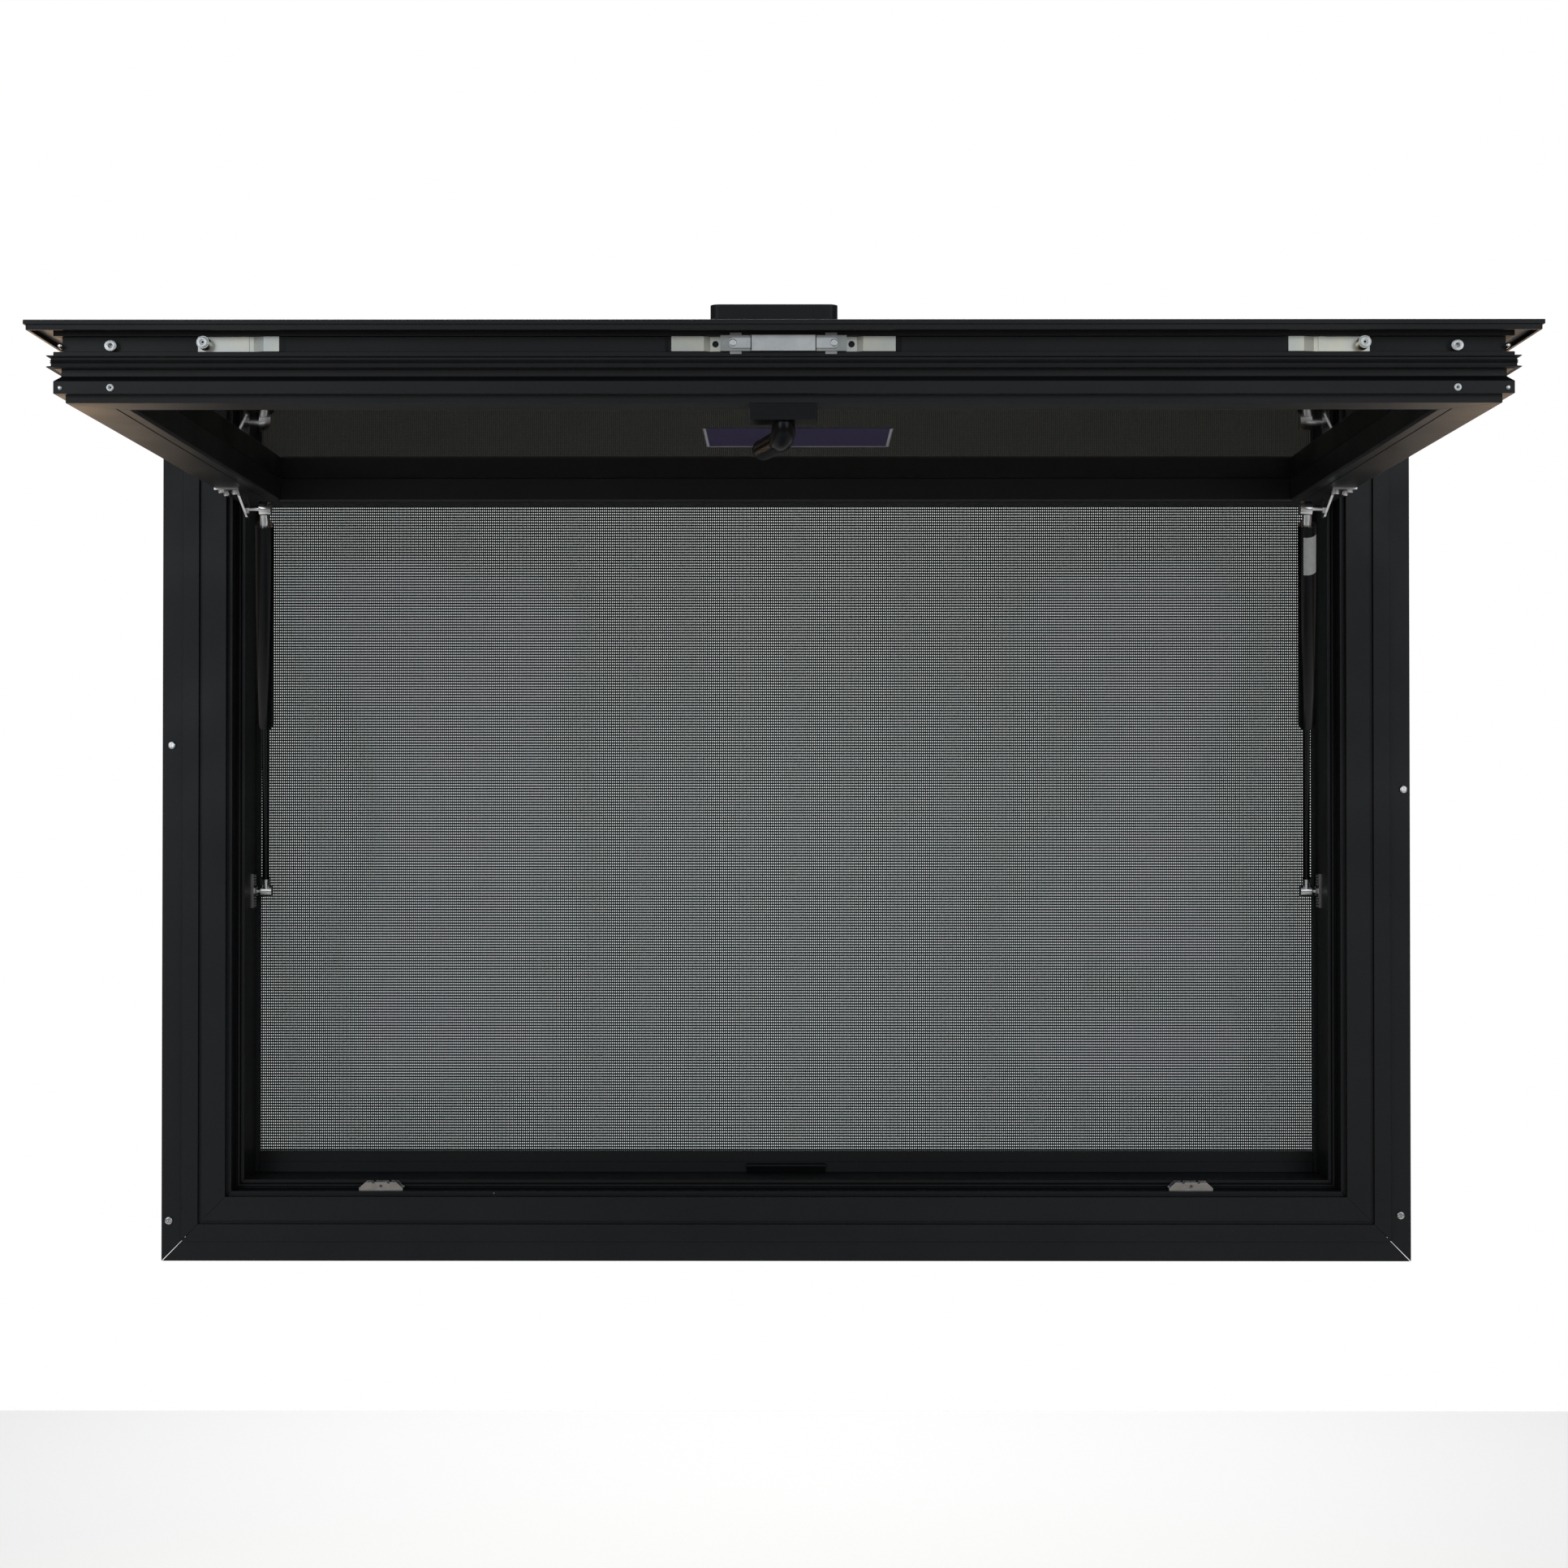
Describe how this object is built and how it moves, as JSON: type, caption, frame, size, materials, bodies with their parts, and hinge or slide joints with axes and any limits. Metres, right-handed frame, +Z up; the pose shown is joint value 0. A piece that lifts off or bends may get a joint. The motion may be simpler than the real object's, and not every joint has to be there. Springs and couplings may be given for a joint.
{
  "type": "awning serving window",
  "caption": "Black aluminium awning serving window: mitred frame with mounting flange, glazed sash held open by gas struts, roller insect screen, lever lock.",
  "frame": {"origin": "on the back face of the bottom flange, at the middle of the width", "axes": "X along the wall to the viewer's right, +Y into the wall, +Z up; the outside faces -Y"},
  "size_m": [1.304, 0.9084, 0.916],
  "materials": {
    "coated_aluminium": "satin",
    "seal_rubber": "matte",
    "screen_fabric": "matte",
    "zinc": "satin",
    "strut_black": "gloss",
    "tinted_glass": "gloss",
    "handle_black": "satin"
  },
  "bodies": {
    "window": {"flange_bottom": "coated_aluminium", "flange_top": "coated_aluminium", "flange_left": "coated_aluminium", "flange_right": "coated_aluminium", "frame_sill": "coated_aluminium", "frame_head": "coated_aluminium", "frame_jamb_left": "coated_aluminium", "frame_jamb_right": "coated_aluminium", "frame_seal": "seal_rubber", "screen_track_left": "coated_aluminium", "screen_track_right": "coated_aluminium", "screen_pull_bar": "coated_aluminium", "screen_mesh": "screen_fabric", "screen_box": "coated_aluminium", "keeper_left": "zinc", "keeper_right": "zinc", "hinge_frame_leaf": "coated_aluminium", "hinge_sash_leaf": "coated_aluminium", "sash_bottom_rail": "coated_aluminium", "sash_top_rail": "coated_aluminium", "sash_stile_left": "coated_aluminium", "sash_stile_right": "coated_aluminium", "sash_seal": "seal_rubber", "glass_outer_pane": "tinted_glass", "glass_spacer": "coated_aluminium", "glass_inner_pane": "tinted_glass", "bead_bottom": "coated_aluminium", "bead_top": "coated_aluminium", "bead_left": "coated_aluminium", "bead_right": "coated_aluminium", "exterior_pull": "coated_aluminium", "handle_base": "handle_black", "lock_gearbox": "zinc", "strut_bracket_left": "zinc", "strut_bracket_right": "zinc", "strut_stud_left": "zinc", "strut_stud_right": "zinc", "strut_cylinder_left": "strut_black", "strut_cylinder_right": "strut_black", "strut_rod_left": "strut_black", "strut_rod_right": "strut_black"},
    "handle": {"handle_lever": "handle_black"},
    "lock_left": {"lock_rod_left": "zinc"},
    "lock_right": {"lock_rod_right": "zinc"}
  },
  "joints": [
    {"name": "handle_turn", "type": "hinge", "parent": "window", "child": "handle", "pos_m": [0, -0.7503, 0.7731], "axis": [0, 0, 1], "range_deg": [0, 75]},
    {"name": "lock_slide_left", "type": "slide", "parent": "window", "child": "lock_left", "axis": [1, 0, 0], "range_m": [0, 0.0202]},
    {"name": "lock_slide_right", "type": "slide", "parent": "window", "child": "lock_right", "axis": [-1, 0, 0], "range_m": [0, 0.0202]}
  ],
  "couplings": [
    {"joint": "lock_slide_left", "follows": "handle_turn", "m_per_rad": 0.015279},
    {"joint": "lock_slide_right", "follows": "handle_turn", "m_per_rad": 0.015279}
  ]
}
